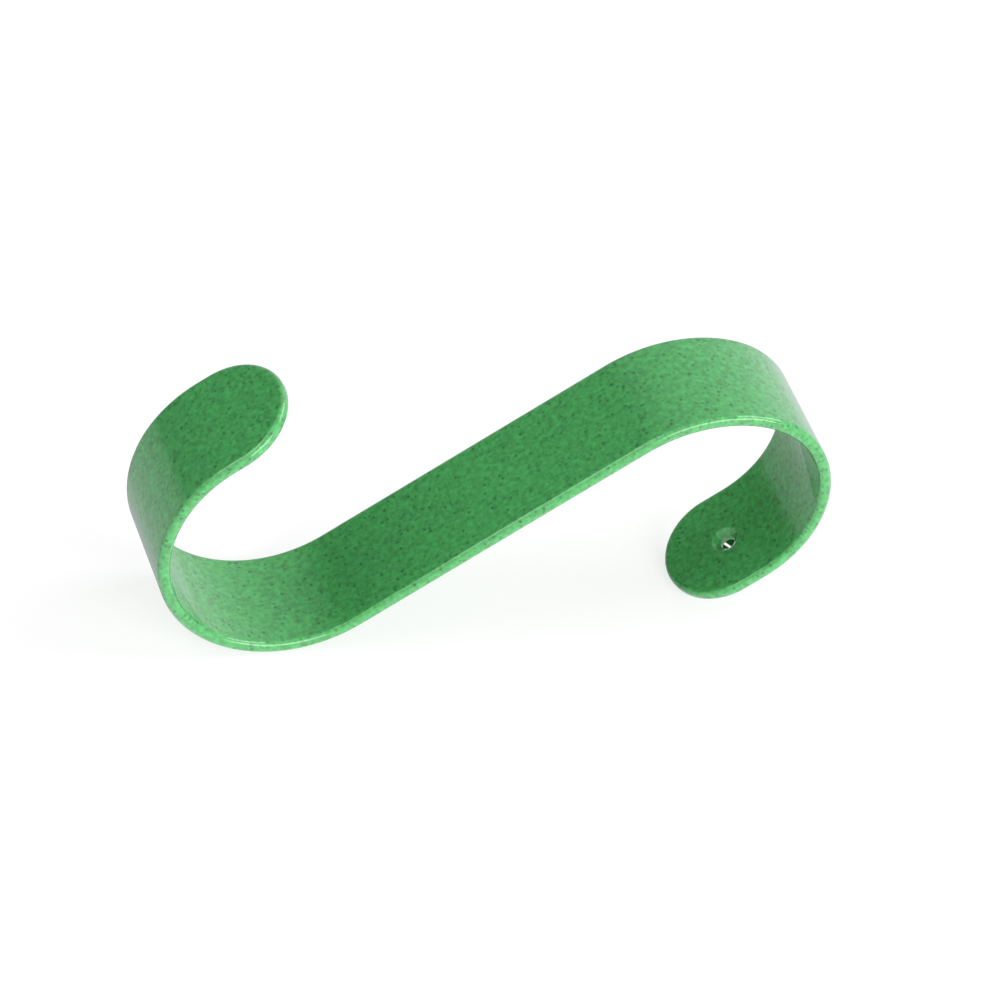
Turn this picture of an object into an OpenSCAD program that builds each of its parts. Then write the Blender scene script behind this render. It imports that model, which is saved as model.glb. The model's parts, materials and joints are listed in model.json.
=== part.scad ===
// Flat steel S hook with a screw hole.
// One length of painted steel strip is bent into two hooks that face opposite ways.
// The carry hook is plain; the rail hook's tail is countersunk for a screw that fixes it in place.
// The hook lies on a level surface at z = 0: on the carry hook's bend and the rail hook's tip.
// X runs along the hook towards the rail hook, Y across the strip, and Z is up.

/* [Strip] */
// Width of the flat strip
strip_w = 25; // [20:1:40]
// Thickness of the strip
strip_t = 2.5; // [2.2:0.1:4]
// Radius rolled onto the strip's long edges and round its ends
edge_r = 1; // [0.2:0.1:1]
// Length of the straight between the two hooks
middle_len = 64.5; // [50:0.5:120]

/* [Carry hook] */
// Inside radius of the carry hook
carry_r = 24.75; // [18:0.25:35]
// Flat stretch between the carry hook's bend and its half-round end
carry_flat = 2.5; // [1:0.5:15]

/* [Rail hook] */
// Inside radius of the wide bend that leads into the rail hook
entry_r = 26.75; // [25:0.25:35]
// Inside radius of the tight bend that finishes it
rail_r = 21.25; // [16:0.25:24]
// Flat stretch between the tight bend and the half-round end
rail_flat = 4.5; // [4.5:0.5:15]

/* [Screw hole] */
// Distance from the rail hook's tip to the middle of the screw hole
hole_from_tip = 13.5; // [12:0.5:14]
// Diameter of the screw hole
hole_d = 3; // [2.5:0.1:3.5]
// Diameter of the countersink at the inside face of the rail hook
sink_d = 5.6; // [5:0.1:6]

/* [Hidden] */
$fn = 96;

// Bend radii along the middle of the strip's thickness
carry_mid_r = carry_r + strip_t / 2;
entry_mid_r = entry_r + strip_t / 2;
rail_mid_r = rail_r + strip_t / 2;

// The two bends of the rail hook run into each other on a line through both their centres,
// which rises 3 in 4, so the wide bend takes 53 degrees of the half turn and the tight one 127
meeting_line = [4, 3] / 5;

// Places in the plane of the bends: [along the middle straight, square to it]
carry_centre = [-middle_len / 2, carry_mid_r];
entry_centre = [middle_len / 2, -entry_mid_r];
rail_centre = entry_centre + (entry_mid_r - rail_mid_r) * meeting_line;
rail_tail_len = rail_flat + strip_w / 2;
rail_tip = rail_centre - [rail_tail_len, rail_mid_r];

// Centre of the rolled edge at the rail hook's tip, on the outside, which meets the surface
tip_edge = rail_tip + [edge_r, edge_r - strip_t / 2];

// Tilt of the middle straight at which the carry hook's bend and the tip are equally low
carry_outer_r = carry_r + strip_t;
rail_outer_r = rail_r + strip_t;
span = carry_centre - tip_edge;
rest_tilt = 180 - asin((carry_outer_r - edge_r) / norm(span)) - atan2(span.y, span.x);

// Place of a point of that plane once the hook is set down, as far as the tilt takes it
function tilted(point) = [
    point.x * cos(rest_tilt) - point.y * sin(rest_tilt),
    point.x * sin(rest_tilt) + point.y * cos(rest_tilt)
];
left_end = tilted(carry_centre).x - carry_outer_r;
right_end = tilted(rail_centre).x + rail_outer_r;
lowest = tilted(carry_centre).y - carry_outer_r;

module set_down() {
    translate([-(left_end + right_end) / 2, 0, -lowest])
        rotate([0, -rest_tilt, 0])
            children();
}

// Section of the strip, thickness across and width up, with rolled edges
module strip_section() {
    square([strip_t - 2 * edge_r, strip_w], center = true);
    square([strip_t, strip_w - 2 * edge_r], center = true);
    for (across = [-1, 1], up = [-1, 1])
        translate([across * (strip_t / 2 - edge_r), up * (strip_w / 2 - edge_r)])
            circle(edge_r);
}

// Straight stretch of strip along +X
module flat_strip(length) {
    rotate([0, 90, 0])
        linear_extrude(length)
            strip_section();
}

// Half or quarter turn of strip about the origin, clockwise from the top
module bent_strip(mid_r, turn) {
    rotate([90, 0, 0])
        rotate([0, 0, 90 - turn])
            rotate_extrude(angle = turn)
                translate([mid_r, 0])
                    strip_section();
}

// Everything about the origin that comes before the meeting line, out to past a bend of this radius
module before_meeting_line(mid_r) {
    reach = 2 * mid_r;
    rotate([90, 0, 0])
        linear_extrude(2 * strip_w, center = true)
            polygon([[0, 0], reach * meeting_line, [-mid_r, reach]]);
}

// Flat stretch along +X and the half-round end that finishes it
module tail(flat) {
    flat_strip(flat);
    translate([flat, 0, 0])
        rotate([0, 0, -90])
            rotate_extrude(angle = 180)
                intersection() {
                    rotate(90)
                        strip_section();
                    translate([0, -strip_t])
                        square([strip_w, 2 * strip_t]);
                }
}

module carry_hook() {
    translate([carry_centre.x, 0, carry_centre.y])
        rotate([0, 180, 0])
            bent_strip(carry_mid_r, 180);
    translate([carry_centre.x, 0, carry_centre.y + carry_mid_r])
        tail(carry_flat);
}

module rail_hook() {
    translate([entry_centre.x, 0, entry_centre.y])
        intersection() {
            bent_strip(entry_mid_r, 90);
            before_meeting_line(entry_mid_r);
        }
    translate([rail_centre.x, 0, rail_centre.y])
        difference() {
            bent_strip(rail_mid_r, 180);
            before_meeting_line(rail_mid_r);
        }
    translate([rail_centre.x, 0, rail_centre.y - rail_mid_r])
        rotate([0, 180, 0])
            tail(rail_flat);
}

// Middle of the screw hole on the inside face of the rail hook's tail, with +Z pointing into the hook
module at_screw() {
    translate([rail_tip.x + hole_from_tip, 0, rail_tip.y + strip_t / 2])
        children();
}

// Room for a countersunk screw that goes in from the inside of the hook: shank and square-angled head
module screw_room() {
    sink_depth = (sink_d - hole_d) / 2;
    translate([0, 0, -2 * strip_t])
        cylinder(d = hole_d, h = 3 * strip_t);
    translate([0, 0, -sink_depth])
        cylinder(d1 = hole_d, d2 = sink_d + 2 * strip_t, h = sink_depth + strip_t);
}

// Painted strip, countersunk for the screw
module hook_strip() {
    color([0.25, 0.56, 0.30])
        set_down()
            difference() {
                union() {
                    translate([-middle_len / 2, 0, 0])
                        flat_strip(middle_len);
                    carry_hook();
                    rail_hook();
                }
                at_screw()
                    screw_room();
            }
}

hook_strip();
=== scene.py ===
import json
import math

import bmesh
import bpy
import numpy as np
from mathutils import Matrix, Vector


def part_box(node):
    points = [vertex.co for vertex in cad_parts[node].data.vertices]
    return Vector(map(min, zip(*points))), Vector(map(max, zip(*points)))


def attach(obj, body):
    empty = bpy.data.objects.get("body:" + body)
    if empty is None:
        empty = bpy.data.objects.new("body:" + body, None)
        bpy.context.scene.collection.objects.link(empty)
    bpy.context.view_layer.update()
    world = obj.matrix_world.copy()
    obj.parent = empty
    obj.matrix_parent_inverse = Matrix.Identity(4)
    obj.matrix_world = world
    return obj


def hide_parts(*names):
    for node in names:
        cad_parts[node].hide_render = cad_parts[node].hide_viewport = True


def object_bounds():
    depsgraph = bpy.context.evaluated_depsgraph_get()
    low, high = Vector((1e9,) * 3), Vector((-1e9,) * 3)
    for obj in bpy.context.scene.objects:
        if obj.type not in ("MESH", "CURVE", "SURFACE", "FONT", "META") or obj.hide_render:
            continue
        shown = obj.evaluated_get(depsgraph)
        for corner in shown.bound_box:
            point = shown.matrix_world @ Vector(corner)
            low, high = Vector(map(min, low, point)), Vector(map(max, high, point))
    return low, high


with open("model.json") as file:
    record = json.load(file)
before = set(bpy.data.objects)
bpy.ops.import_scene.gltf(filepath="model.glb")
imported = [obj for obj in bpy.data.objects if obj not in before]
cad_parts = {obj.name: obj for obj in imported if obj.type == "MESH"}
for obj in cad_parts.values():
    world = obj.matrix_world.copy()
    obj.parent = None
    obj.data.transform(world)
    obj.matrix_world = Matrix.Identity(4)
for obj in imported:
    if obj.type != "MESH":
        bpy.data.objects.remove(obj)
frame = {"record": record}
cad_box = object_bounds()


# Hook strip: one 254 mm length of flat mild steel with rolled edges and half-round ends.
# It is bent cold round formers, a half turn each way, and countersunk near one tip for a screw.
# The finish is a gloss green paint full of fine dark flecks.
mounts = {mount["name"]: mount for mount in frame["record"]["mounts"]}
strip_low, strip_high = (np.array(corner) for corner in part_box("hook_strip"))
carry_centre = np.array(mounts["carry_hook"]["pos_m"])[[0, 2]]
rail_centre = np.array(mounts["rail_hook"]["pos_m"])[[0, 2]]
carry_r = mounts["carry_hook"]["dims"]["r_mm"] / 1000
rail_r = mounts["rail_hook"]["dims"]["r_mm"] / 1000
strip_w = strip_high[1] - strip_low[1]
strip_t = carry_centre[0] - carry_r - strip_low[0]
edge_r = 0.001
middle_len = 0.0645
entry_r = 0.02675
carry_tail = 0.015
rail_tail = 0.017
hole_from_tip = 0.0135
hole_r = mounts["screw_hole"]["dims"]["r_mm"] / 1000
hole_rim_r = 0.0002
sink_r = 0.0028
sink_rim_r = 0.0005
ground_deep = (0.055, 0.318, 0.084, 1)
ground_bright = (0.092, 0.532, 0.139, 1)
fleck_colour = (0.023, 0.155, 0.040, 1)
faintest_fleck = 0.35
mottle_per_metre = 900.0
mottle_low = 0.25
mottle_high = 0.75
peel_per_metre = 380.0
peel_strength = 0.25
peel_depth = 0.00003
ground_roughness = 0.32
ground_shine = 0.2
skin_roughness = 0.05
skin_ior = 1.5

# Bends along the middle of the thickness: the rail hook's two meet on a line that rises 3 in 4
carry_bend, entry_bend, rail_bend = (radius + strip_t / 2 for radius in (carry_r, entry_r, rail_r))
meeting_line = np.array([0.8, 0.6])
entry_turn = math.atan2(meeting_line[0], meeting_line[1])
rail_turn = math.pi - entry_turn

# The middle straight's tilt is the turn that carries the two bend centres to their places in the frame
centres_apart = np.array([middle_len, -carry_bend - entry_bend]) + (entry_bend - rail_bend) * meeting_line
centres_placed = rail_centre - carry_centre
tilt = math.atan2(centres_placed[1], centres_placed[0]) - math.atan2(centres_apart[1], centres_apart[0])
uphill = np.array([math.cos(tilt), math.sin(tilt)])
square_to_middle = np.array([-math.sin(tilt), math.cos(tilt)])

stretch_lengths = np.array([carry_tail, math.pi * carry_bend, middle_len,
                            entry_turn * entry_bend, rail_turn * rail_bend, rail_tail])
stretch_curvatures = np.array([0, 1 / carry_bend, 0, -1 / entry_bend, -1 / rail_bend, 0])
stretch_starts = np.cumsum(stretch_lengths) - stretch_lengths
stretch_turns = stretch_lengths * stretch_curvatures
stretch_headings = tilt + math.pi + np.cumsum(stretch_turns) - stretch_turns
blank_len = stretch_lengths.sum()


def chord(distance, curvature, heading):
    """Step across an arc: distance x sin(half turn) / (half turn), in the direction
    half-way through the turn."""
    half_turn = distance * curvature / 2
    length = distance * np.sinc(half_turn / math.pi)
    direction = heading + half_turn
    return np.stack([length * np.cos(direction), length * np.sin(direction)], -1)


def strip_route(along):
    """Centre line at a distance from the carry tip: the end of the stretch before, plus a chord
    of this one. Returns points in the XZ plane and the unit normals to the left of the way."""
    steps = chord(stretch_lengths, stretch_curvatures, stretch_headings)
    carry_tip = carry_centre + carry_tail * uphill + carry_bend * square_to_middle
    corners = carry_tip + np.cumsum(steps, 0) - steps
    stretch = np.searchsorted(stretch_starts, along, side="right") - 1
    stretch = np.clip(stretch, 0, len(stretch_starts) - 1)
    into = along - stretch_starts[stretch]
    points = corners[stretch] + chord(into, stretch_curvatures[stretch], stretch_headings[stretch])
    headings = stretch_headings[stretch] + into * stretch_curvatures[stretch]
    return points, np.stack([-np.sin(headings), np.cos(headings)], -1)


def blank_outline(side_steps, end_steps):
    """Once round the flat blank: a place on its centre line and the bearing from there to the rim.
    The place runs along each side and stands still while the bearing sweeps round an end."""
    side = np.linspace(strip_w / 2, blank_len - strip_w / 2, side_steps)
    sweep = np.linspace(0, math.pi, end_steps + 2)[1:-1]
    near, far = np.full(side_steps, -math.pi / 2), np.full(side_steps, math.pi / 2)
    places = np.concatenate([side, np.full(end_steps, side[-1]),
                             side[::-1], np.full(end_steps, side[0])])
    bearings = np.concatenate([near, sweep - math.pi / 2, far, sweep + math.pi / 2])
    return places, bearings


def screw_hole(rim_steps):
    """Wall of the screw hole as radii and heights, from the face inside the tail to the one outside it:
    the countersink's rounded rim, its cone at 45 degrees, the straight bore and a rounded rim."""
    eighth = np.linspace(0, math.pi / 4, rim_steps)
    quarter = np.linspace(math.pi / 2, 0, rim_steps)
    lip_r = sink_r + sink_rim_r * math.tan(math.pi / 8)
    bore_start = sink_r - hole_r - strip_t / 2
    crease = hole_rim_r / 4
    radii = np.concatenate([lip_r - sink_rim_r * np.sin(eighth), [hole_r + crease, hole_r, hole_r],
                            hole_r + hole_rim_r * (1 - np.sin(quarter))])
    heights = np.concatenate([sink_rim_r * (1 - np.cos(eighth)) - strip_t / 2,
                              [bore_start - crease, bore_start, bore_start + crease],
                              strip_t / 2 - hole_rim_r * (1 - np.cos(quarter))])
    return radii, heights


def half_section(flat_steps, round_steps, rim_steps, inset=0.06, border=0.01):
    """Half section of the strip: out across one face, round the rolled edge, back across the other,
    and up the hole. Each point has a share of the way across its face, a reach past the face's end,
    a height, and the radius round the screw hole at which its share is nothing. A narrow border
    beside the hole and the edge keeps the faces flat in the shading."""
    radii, heights = screw_hole(rim_steps)
    across = np.concatenate([[0, border], np.linspace(inset, 1 - inset, flat_steps), [1 - border]])
    roll = np.linspace(0, math.pi / 2, round_steps)
    face, edge, wall = np.ones(len(across)), np.ones(round_steps), np.ones(len(radii))
    edge_reach = edge_r * np.sin(roll)
    edge_height = strip_t / 2 - edge_r * (1 - np.cos(roll))
    share = np.concatenate([across, edge, edge, across[::-1], 0 * wall])
    reach = np.concatenate([0 * face, edge_reach, edge_reach[::-1], 0 * face, 0 * wall])
    height = np.concatenate([strip_t / 2 * face, edge_height, -edge_height[::-1],
                             -strip_t / 2 * face, heights])
    ring = np.concatenate([radii[-1] * face, 0 * edge, 0 * edge, radii[0] * face, radii])
    return share, reach, height, ring


def closed_mesh(name, points, kept, merge_gap=1e-7):
    """Mesh of the kept squares of a grid of points that is closed round its first way,
    with doubles merged."""
    rows, columns = points.shape[:2]
    row, column = np.meshgrid(np.arange(rows), np.arange(columns - 1), indexing="ij")
    next_row = (row + 1) % rows
    corners = np.stack([row * columns + column, next_row * columns + column,
                        next_row * columns + column + 1, row * columns + column + 1], -1)[kept]
    used, corners = np.unique(corners, return_inverse=True)
    mesh = bpy.data.meshes.new(name)
    mesh.from_pydata(points.reshape(-1, 3)[used], [], corners.reshape(-1, 4))
    work = bmesh.new()
    work.from_mesh(mesh)
    bmesh.ops.remove_doubles(work, verts=work.verts, dist=merge_gap)
    bmesh.ops.recalc_face_normals(work, faces=work.faces)
    work.to_mesh(mesh)
    work.free()
    mesh.polygons.foreach_set("use_smooth", np.ones(len(mesh.polygons), dtype=bool))
    piece = bpy.data.objects.new(name, mesh)
    bpy.context.collection.objects.link(piece)
    return piece


def bent_strip():
    """The blank's outline carried in from its rim: to the centre line, or to the screw hole in the
    flat tail, round which the rim's bearings are stretched to a full turn. The route then bends it
    at each point's height."""
    places, bearings = blank_outline(side_steps=330, end_steps=72)
    share, reach, height, ring = half_section(flat_steps=7, round_steps=9, rim_steps=6)
    flat_end = strip_w / 2 - edge_r
    hole_place = blank_len - hole_from_tip
    end_along = places + flat_end * np.cos(bearings)
    end_across = flat_end * np.sin(bearings)
    in_tail = places > blank_len - rail_tail
    turn = np.arctan2(end_across, end_along - hole_place)
    turn = (turn * math.pi / np.abs(turn[in_tail]).max())[:, None]
    start_along = np.where(in_tail[:, None], hole_place + ring * np.cos(turn), places[:, None])
    start_across = np.where(in_tail[:, None], ring * np.sin(turn), 0)
    along = ((1 - share) * start_along + share * end_along[:, None]
             + reach * np.cos(bearings)[:, None])
    across = ((1 - share) * start_across + share * end_across[:, None]
              + reach * np.sin(bearings)[:, None])
    centre, normal = strip_route(along)
    lifted = centre + height[:, None] * normal
    on_a_face = (share[:-1] > 0) | (share[1:] > 0)
    kept = on_a_face | (in_tail & np.roll(in_tail, -1))[:, None]
    points = np.stack([lifted[..., 0], across, lifted[..., 1]], -1)
    return closed_mesh("painted_hook", points, kept)


def shader_node(tree, kind, inputs, **settings):
    """Node of a kind with its settings made, each input joined to a socket or set to a value."""
    made = tree.nodes.new(kind)
    for name, value in settings.items():
        setattr(made, name, value)
    for key, value in inputs.items():
        if isinstance(value, bpy.types.NodeSocket):
            tree.links.new(value, made.inputs[key])
        else:
            made.inputs[key].default_value = value
    return made


def flecks(tree, place, per_metre, core, fade, spread):
    """Up to 1 in the core of each random cell, falling to 0 round it. The cell's own colour draws
    the size of its core and how dark it is."""
    cells = shader_node(tree, "ShaderNodeTexVoronoi", {"Vector": place, "Scale": per_metre})
    drawn = shader_node(tree, "ShaderNodeSeparateColor", {"Color": cells.outputs["Color"]})
    shrunk = shader_node(tree, "ShaderNodeMath",
                         {0: drawn.outputs["Red"], 1: spread, 2: cells.outputs["Distance"]},
                         operation="MULTIPLY_ADD")
    mask = shader_node(tree, "ShaderNodeMapRange",
                       {"Value": shrunk.outputs[0], "From Min": core + fade, "From Max": core},
                       interpolation_type="SMOOTHSTEP")
    depth = shader_node(tree, "ShaderNodeMapRange",
                        {"Value": drawn.outputs["Green"], "To Min": faintest_fleck})
    return shader_node(tree, "ShaderNodeMath", {0: mask.outputs[0], 1: depth.outputs[0]},
                       operation="MULTIPLY").outputs[0]


def fleck_paint():
    """Gloss green paint: dark flecks of two sizes over a soft mottle, under a clear skin
    with a faint peel."""
    material = bpy.data.materials.new("fleck_green_paint")
    material.use_nodes = True
    tree = material.node_tree
    place = tree.nodes.new("ShaderNodeTexCoord").outputs["Object"]
    fine = flecks(tree, place, per_metre=900, core=0.08, fade=0.46, spread=0.26)
    coarse = flecks(tree, place, per_metre=600, core=0.05, fade=0.36, spread=0.26)
    dark = shader_node(tree, "ShaderNodeMath", {0: fine, 1: coarse}, operation="MAXIMUM")
    clouds = shader_node(tree, "ShaderNodeTexNoise",
                         {"Vector": place, "Scale": mottle_per_metre, "Detail": 1.0, "Roughness": 0.6})
    mottle = shader_node(tree, "ShaderNodeMapRange",
                         {"Value": clouds.outputs["Fac"], "From Min": mottle_low, "From Max": mottle_high})
    ground = shader_node(tree, "ShaderNodeMix",
                         {"Factor": mottle.outputs[0], "A": ground_deep, "B": ground_bright},
                         data_type="RGBA")
    colour = shader_node(tree, "ShaderNodeMix",
                         {"Factor": dark.outputs[0], "A": ground.outputs["Result"], "B": fleck_colour},
                         data_type="RGBA")
    peel = shader_node(tree, "ShaderNodeTexNoise",
                       {"Vector": place, "Scale": peel_per_metre, "Detail": 1.0})
    skin = shader_node(tree, "ShaderNodeBump",
                       {"Height": peel.outputs["Fac"], "Strength": peel_strength, "Distance": peel_depth})
    coat = tree.nodes["Principled BSDF"]
    coat.inputs["Roughness"].default_value = ground_roughness
    coat.inputs["Specular IOR Level"].default_value = ground_shine
    coat.inputs["Coat Weight"].default_value = 1.0
    coat.inputs["Coat Roughness"].default_value = skin_roughness
    coat.inputs["Coat IOR"].default_value = skin_ior
    tree.links.new(colour.outputs["Result"], coat.inputs["Base Color"])
    tree.links.new(skin.outputs["Normal"], coat.inputs["Coat Normal"])
    return material


hook = bent_strip()
hook.data.materials.append(fleck_paint())
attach(hook, "root")
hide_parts("hook_strip")


# Table: a wide sheet of matt white card that the hook lies on, in a plain white room.
# Under the rail hook's raised tail, where the camera looks through the screw hole, it is painted
# with a small deep shade in a soft dusk, and with a thin gleam across them.
table_half = 4.0
card_white = (0.8, 0.8, 0.8, 1)
shade_colour = (0.008, 0.06, 0.012, 1)
shade_place = (0.0607, 0.0089, 0)
shade_halves = (0.0062, 0.0046, 1)
shade_core = 0.37
dusk_halves = (0.019, 0.008, 1)
dusk_depth = 0.5
shade_turn = math.radians(29.4)
gleam_place = (0.0602, 0.0087, 0)
gleam_halves = (0.0019, 0.0004, 1)
gleam_core = 0.75
gleam_turn = math.radians(-56.5)
white_share = 0.65
white_strength = 1.2


def shown_white(tree):
    """1 for rays from the camera, a gloss or a glass, which see the white of the set,
    and 0 for scattered light."""
    path = tree.nodes.new("ShaderNodeLightPath")
    seen = path.outputs["Is Camera Ray"]
    for kind in ("Is Glossy Ray", "Is Transmission Ray"):
        either = shader_node(tree, "ShaderNodeMath", {0: seen, 1: path.outputs[kind]}, operation="MAXIMUM")
        seen = either.outputs[0]
    return seen


def spot(tree, at, halves, turn, core):
    """1 in the core of an ellipse on the table, falling smoothly to 0 at its edge."""
    place = tree.nodes.new("ShaderNodeTexCoord").outputs["Object"]
    inside = shader_node(tree, "ShaderNodeMapping",
                         {"Vector": place, "Location": at, "Rotation": (0, 0, turn), "Scale": halves},
                         vector_type="TEXTURE")
    out = shader_node(tree, "ShaderNodeVectorMath", {0: inside.outputs[0]}, operation="LENGTH")
    return shader_node(tree, "ShaderNodeMapRange",
                       {"Value": out.outputs["Value"], "From Min": 1.0, "From Max": core},
                       interpolation_type="SMOOTHSTEP").outputs[0]


def white_card():
    """Matt card that takes the shadow, under a share of plain white for the rays that should see
    it white. The deep shade has none of that white, the dusk round it less, and the gleam all."""
    material = bpy.data.materials.new("white_card")
    material.use_nodes = True
    tree = material.node_tree
    deep = spot(tree, shade_place, shade_halves, shade_turn, core=shade_core)
    wide = spot(tree, shade_place, dusk_halves, shade_turn, core=0.0)
    dusk = shader_node(tree, "ShaderNodeMath", {0: wide, 1: dusk_depth}, operation="MULTIPLY")
    shade = shader_node(tree, "ShaderNodeMath", {0: deep, 1: dusk.outputs[0]}, operation="MAXIMUM")
    gleam = spot(tree, gleam_place, gleam_halves, gleam_turn, core=gleam_core)
    unlit = shader_node(tree, "ShaderNodeMath", {0: 1.0, 1: gleam}, operation="SUBTRACT")
    dark = shader_node(tree, "ShaderNodeMath", {0: shade.outputs[0], 1: unlit.outputs[0]},
                       operation="MULTIPLY")
    colour = shader_node(tree, "ShaderNodeMix",
                         {"Factor": dark.outputs[0], "A": card_white, "B": shade_colour},
                         data_type="RGBA")
    matt = tree.nodes["Principled BSDF"]
    matt.inputs["Roughness"].default_value = 1.0
    matt.inputs["Specular IOR Level"].default_value = 0.0
    tree.links.new(colour.outputs["Result"], matt.inputs["Base Color"])
    white = shader_node(tree, "ShaderNodeEmission", {"Strength": white_strength})
    share = shader_node(tree, "ShaderNodeMapRange",
                        {"Value": dark.outputs[0], "To Min": white_share, "To Max": 0.0})
    seen = shader_node(tree, "ShaderNodeMath", {0: shown_white(tree), 1: share.outputs[0]},
                       operation="MULTIPLY")
    both = shader_node(tree, "ShaderNodeMixShader",
                       {"Fac": seen.outputs[0], 1: matt.outputs["BSDF"], 2: white.outputs[0]})
    tree.links.new(both.outputs[0], tree.nodes["Material Output"].inputs["Surface"])
    return material


table = bpy.data.objects.new("white_table", bpy.data.meshes.new("white_table"))
table.data.from_pydata([(-table_half, -table_half, 0), (table_half, -table_half, 0),
                        (table_half, table_half, 0), (-table_half, table_half, 0)], [], [(0, 1, 2, 3)])
bpy.context.collection.objects.link(table)
table.data.materials.append(white_card())


# Graded card: the studio as the gloss of the paint mirrors it, out of the camera's sight.
# A bright sheet lies in front of the hook, the sheet behind is polished and of uneven tone with painted
# shadow by the hook's two resting places, and the wall at the back runs from a dark left end to a white
# right end.
card_half = 1.4
card_front = -0.3
front_edge = -0.016
card_back = 0.75
card_top = 1.2
card_lift = 0.0003
card_tint = (1.0, 1.0, 1.05, 1)
polish_ior = 1.5
front_tone = 1.5
# Floor tones: the dips near -0.05 and 0.055 are painted shadow where the hook rests on the table.
floor_places = (-0.45, -0.28, -0.18, -0.13, -0.07, -0.05, -0.036, -0.02, 0.006, 0.042, 0.055, 0.145)
floor_tones_with_painted_shadow = (0.0, 0.68, 0.78, 0.70, 0.55, 0.42, 0.95, 0.92, 0.78, 0.68, 0.55, 0.92)
wall_places = (-0.70, -0.50, -0.32, -0.05, 0.25, 0.55, 0.80)
wall_tones = (0.09, 0.12, 0.42, 0.62, 0.76, 0.90, 1.0)


def graded_card(columns):
    """Sheet in three panels, front, floor and wall, of two rows of points each. Tones are set at places
    across a panel. The front's tone blends into the floor's over the strip between them."""
    across = np.linspace(-card_half, card_half, columns)
    back = np.array([card_front, front_edge, 0, card_back, card_back, card_back])
    height = np.array([card_lift, card_lift, card_lift, card_lift, card_lift, card_top])
    points = np.stack(np.broadcast_arrays(across, back[:, None], height[:, None]), -1)
    tones = np.repeat([np.full(columns, front_tone), np.interp(across, floor_places, floor_tones_with_painted_shadow),
                       np.interp(across, wall_places, wall_tones)], 2, axis=0)
    front_row, blend_row, floor_row, wall_row = 0, 1, 2, 4
    row, column = np.meshgrid([front_row, blend_row, floor_row, wall_row],
                              np.arange(columns - 1), indexing="ij")
    first = row * columns + column
    corners = np.stack([first, first + 1, first + 1 + columns, first + columns], -1)
    mesh = bpy.data.meshes.new("graded_card")
    mesh.from_pydata(points.reshape(-1, 3), [], corners.reshape(-1, 4))
    mesh.attributes.new("tone", "FLOAT", "POINT").data.foreach_set("value", tones.ravel())
    mesh.polygons.foreach_set("material_index", (row == floor_row).astype(np.int32).ravel())
    sheet = bpy.data.objects.new("graded_card", mesh)
    bpy.context.collection.objects.link(sheet)
    return sheet


def own_tone(name, ior):
    """Light as strong as the tone that the mesh carries, under a polish that mirrors as its
    refractive index says. An index of 1 mirrors nothing."""
    material = bpy.data.materials.new(name)
    material.use_nodes = True
    tree = material.node_tree
    tree.nodes.remove(tree.nodes["Principled BSDF"])
    tone = shader_node(tree, "ShaderNodeAttribute", {}, attribute_name="tone")
    light = shader_node(tree, "ShaderNodeEmission",
                        {"Color": card_tint, "Strength": tone.outputs["Fac"]})
    polish = shader_node(tree, "ShaderNodeBsdfGlossy", {"Roughness": 0.0})
    mirrored = shader_node(tree, "ShaderNodeFresnel", {"IOR": ior})
    both = shader_node(tree, "ShaderNodeMixShader",
                       {"Fac": mirrored.outputs[0], 1: light.outputs[0], 2: polish.outputs[0]})
    tree.links.new(both.outputs[0], tree.nodes["Material Output"].inputs["Surface"])
    return material


card = graded_card(columns=281)
card.data.materials.append(own_tone("plain_tone", ior=1.0))
card.data.materials.append(own_tone("polished_tone", ior=polish_ior))
card.visible_camera = False
card.visible_diffuse = False
card.visible_shadow = False


# Lights: three soft boxes, at the front and the two sides, that face the middle of the hook.
# The white room adds a little light of its own.
middle = np.mean(cad_box, axis=0)
ambient_level = 0.25
white_level = 1.0


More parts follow.
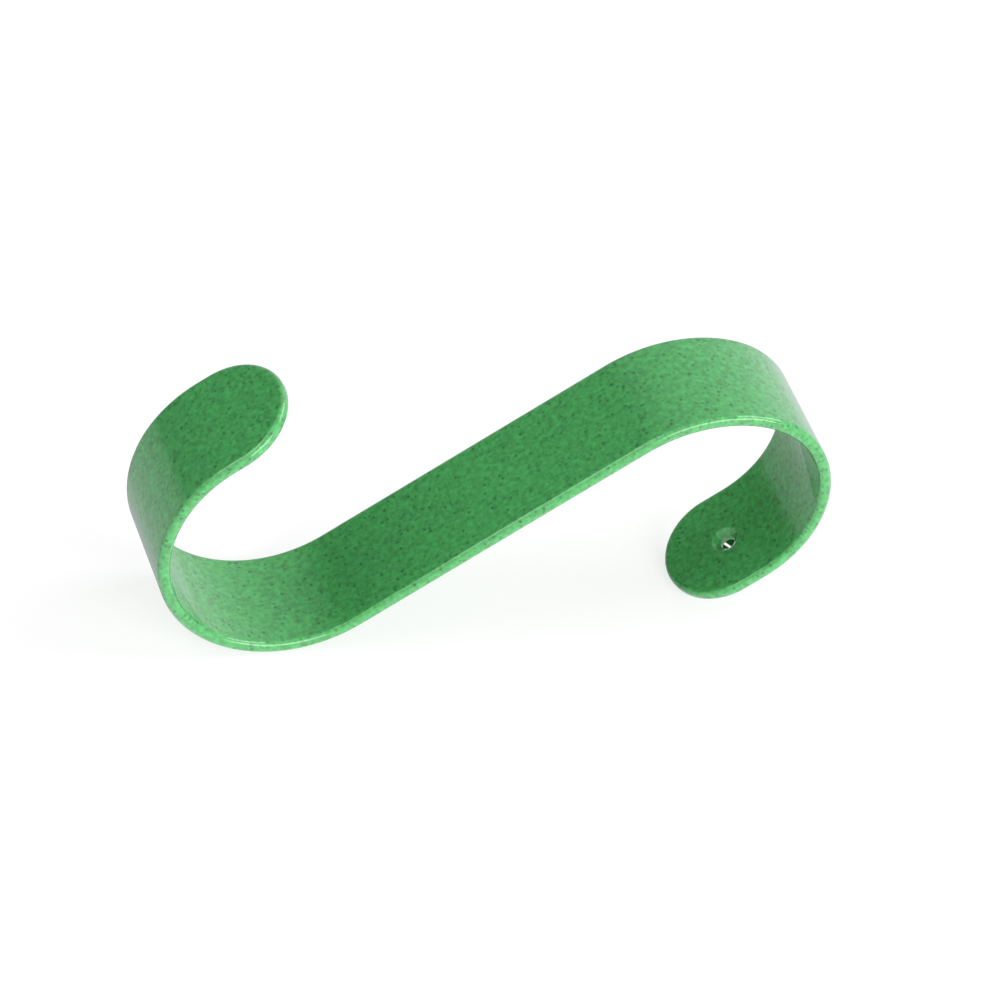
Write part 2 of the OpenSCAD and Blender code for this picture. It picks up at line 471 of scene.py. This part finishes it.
def soft_light(name, bearing, height, wide, tall, watts, distance=1.4):
    """Rectangular soft light at a bearing from +Y towards +X and an angle above the table,
    facing the hook."""
    bearing, height = math.radians(bearing), math.radians(height)
    back = np.array([math.sin(bearing) * math.cos(height),
                     math.cos(bearing) * math.cos(height), math.sin(height)])
    right = np.array([-math.cos(bearing), math.sin(bearing), 0])
    light = bpy.data.lights.new(name, "AREA")
    light.shape = "RECTANGLE"
    light.size = wide
    light.size_y = tall
    light.energy = watts
    turn = np.eye(4)
    turn[:3, 0], turn[:3, 1], turn[:3, 2] = right, np.cross(back, right), back
    turn[:3, 3] = middle + distance * back
    lamp = bpy.data.objects.new(name, light)
    lamp.matrix_world = Matrix(turn)
    bpy.context.collection.objects.link(lamp)


soft_light("front_light", bearing=160, height=22, wide=1.3, tall=0.8, watts=19)
soft_light("right_light", bearing=90, height=48, wide=0.8, tall=0.8, watts=7.6)
soft_light("left_light", bearing=-90, height=48, wide=0.8, tall=0.8, watts=4.7)

world = bpy.data.worlds.new("studio")
bpy.context.scene.world = world
world.use_nodes = True
brighten = shader_node(world.node_tree, "ShaderNodeMapRange",
                       {"Value": shown_white(world.node_tree),
                        "To Min": ambient_level, "To Max": white_level})
studio = world.node_tree.nodes["Background"]
studio.inputs["Color"].default_value = (1, 1, 1, 1)
world.node_tree.links.new(brighten.outputs[0], studio.inputs["Strength"])


# Camera: a long lens a metre off, from the front left and well above,
# turned a little on its own axis.
view_azimuth = math.radians(-25.87)
view_elevation = math.radians(39.38)
view_roll = math.radians(13.09)
view_distance = 1.05
view_aim = np.array([0.00420, 0, 0.02447])
lens_mm = 194.63
back = np.array([math.sin(view_azimuth) * math.cos(view_elevation),
                 -math.cos(view_azimuth) * math.cos(view_elevation), math.sin(view_elevation)])
level = np.array([math.cos(view_azimuth), math.sin(view_azimuth), 0])
rise = np.cross(back, level)
camera = bpy.data.objects.new("camera", bpy.data.cameras.new("camera"))
camera.data.lens = lens_mm
placed = np.eye(4)
placed[:3, 0] = math.cos(view_roll) * level + math.sin(view_roll) * rise
placed[:3, 1] = math.cos(view_roll) * rise - math.sin(view_roll) * level
placed[:3, 2] = back
placed[:3, 3] = view_aim + view_distance * back
camera.matrix_world = Matrix(placed)
bpy.context.collection.objects.link(camera)
bpy.context.scene.camera = camera
bpy.context.scene.view_settings.view_transform = "Standard"
